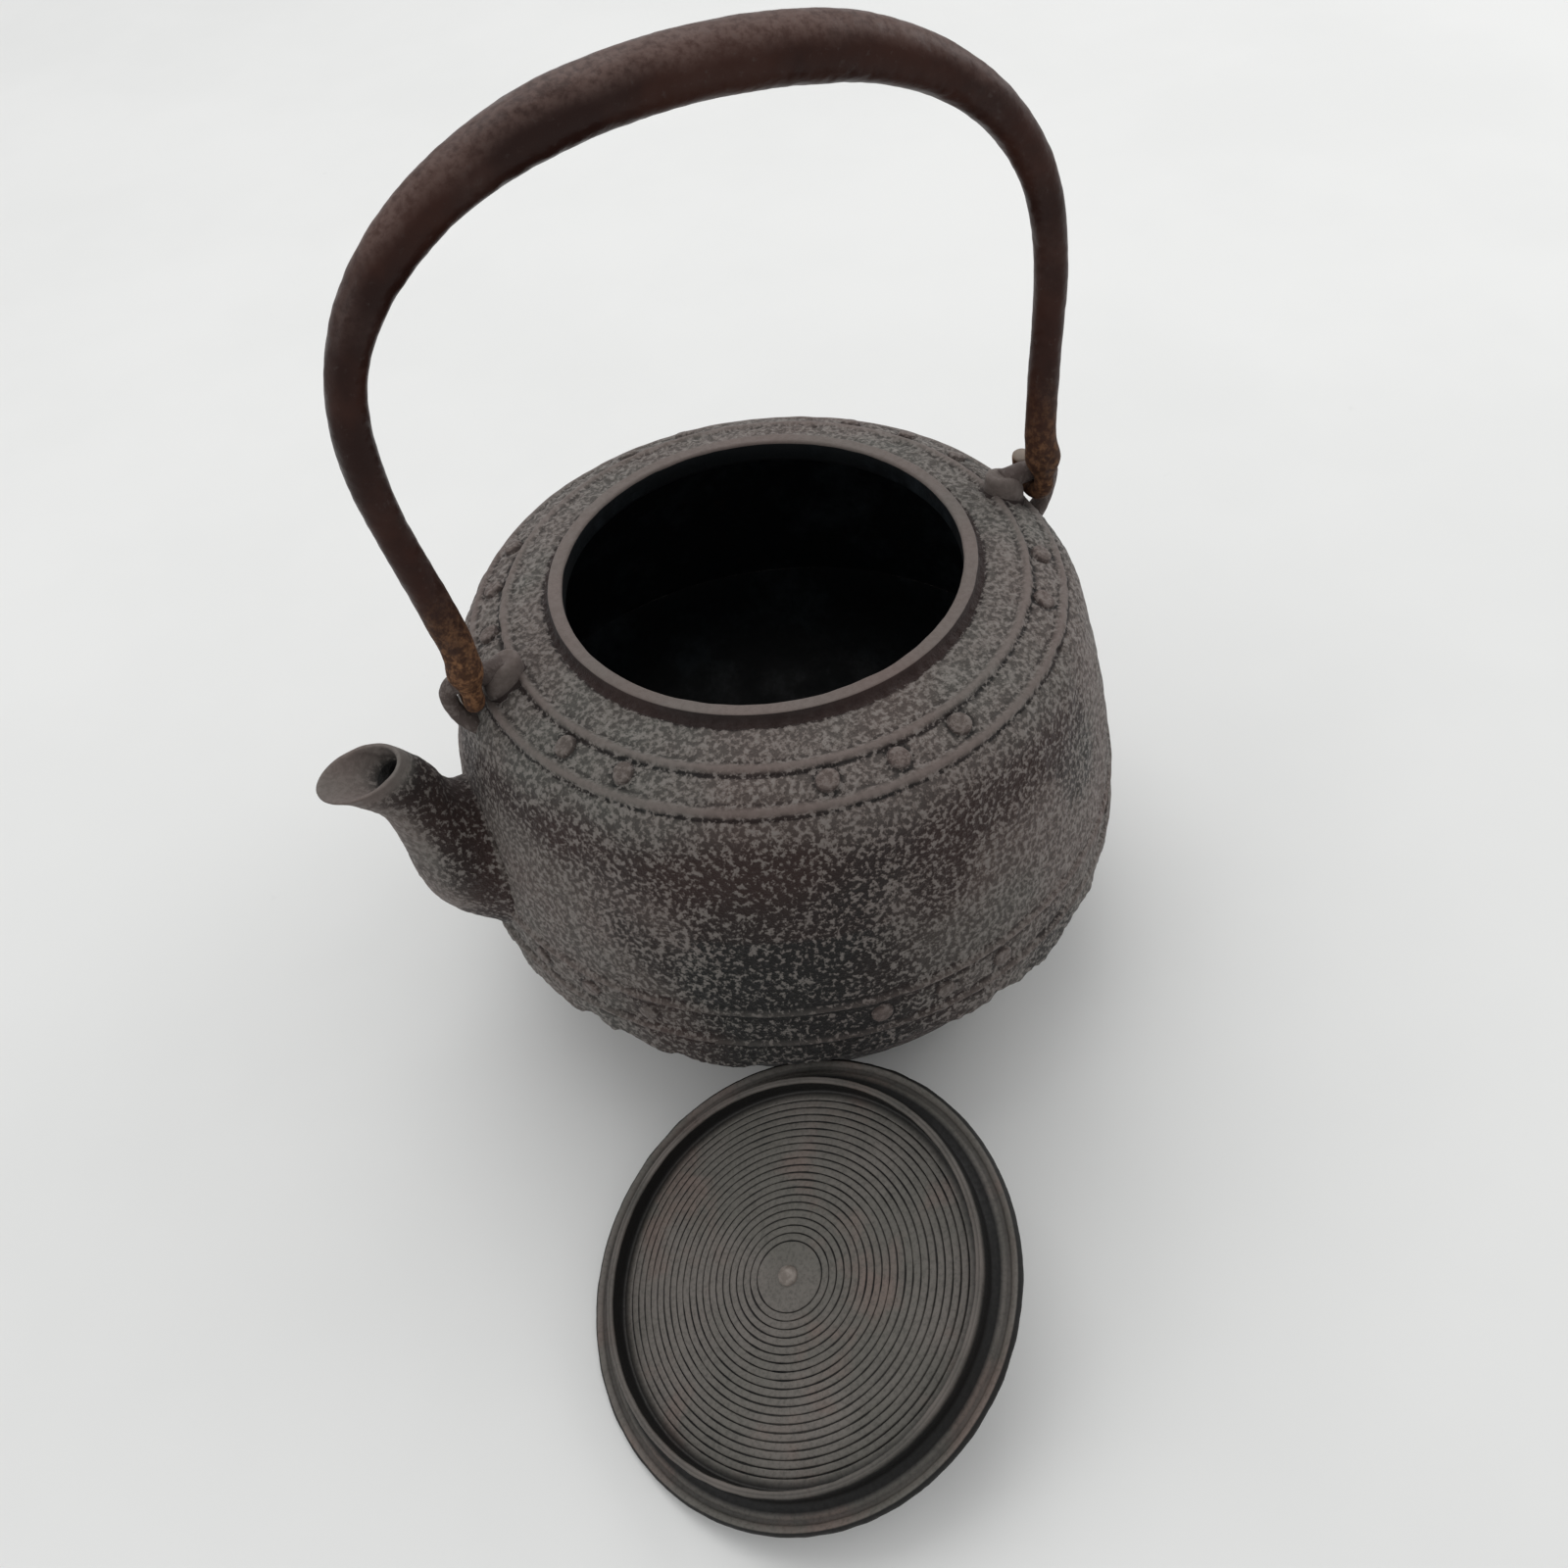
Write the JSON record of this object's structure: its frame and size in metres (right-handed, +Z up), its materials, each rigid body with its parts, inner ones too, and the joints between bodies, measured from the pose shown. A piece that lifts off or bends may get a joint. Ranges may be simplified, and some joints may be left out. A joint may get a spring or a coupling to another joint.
{
  "type": "cast iron kettle",
  "caption": "Squat cast iron kettle with a ragged skirt, stout spout and forged swinging bail; its flanged lid lies knob down beside it.",
  "frame": {"origin": "centre of the flat base, on the table", "axes": "+Z up; the spout points to -X and the bail's hinge runs along X; the lid lies on the -Y side"},
  "size_m": [0.1936, 0.2488, 0.2328],
  "materials": {
    "kettle_iron": "fine sand-cast skin, brown-grey lacquered patina",
    "bail_iron": "forged, dark red-brown patina with rust at the hooks",
    "lid_iron": "turned, dark grey-green satin patina",
    "knob_iron": "cast, dark satin patina",
    "fitting_iron": "worn, peened iron"
  },
  "bodies": {
    "kettle": {"mouth_ring": "kettle_iron", "shoulder": "kettle_iron", "wall": "kettle_iron", "pan_side": "kettle_iron", "pan_curve": "kettle_iron", "pan_base": "kettle_iron", "spout": "kettle_iron", "front_ear": "kettle_iron", "rear_ear": "kettle_iron"},
    "bail": {"bail_arch": "bail_iron", "front_hook": "bail_iron", "rear_hook": "bail_iron"},
    "lid": {"lid_plate": "lid_iron", "lid_flange": "lid_iron", "knob_washer": "fitting_iron"},
    "knob": {"knob": "knob_iron", "knob_rivet": "fitting_iron"}
  },
  "joints": [
    {"name": "bail_swing", "type": "hinge", "parent": "kettle", "child": "bail", "pos_m": [0, 0, 0.1175], "axis": [1, 0, 0], "range_deg": [-49, 71]},
    {"name": "lid_lift", "type": "slide", "parent": "kettle", "child": "lid", "axis": [-0.351, -0.7401, 0.5736], "range_m": [0, 0.15]},
    {"name": "knob_spin", "type": "hinge", "parent": "lid", "child": "knob", "pos_m": [-0.0543, -0.1145, 0.02007], "axis": [0.377, 0.0198, -0.926], "continuous": true}
  ]
}
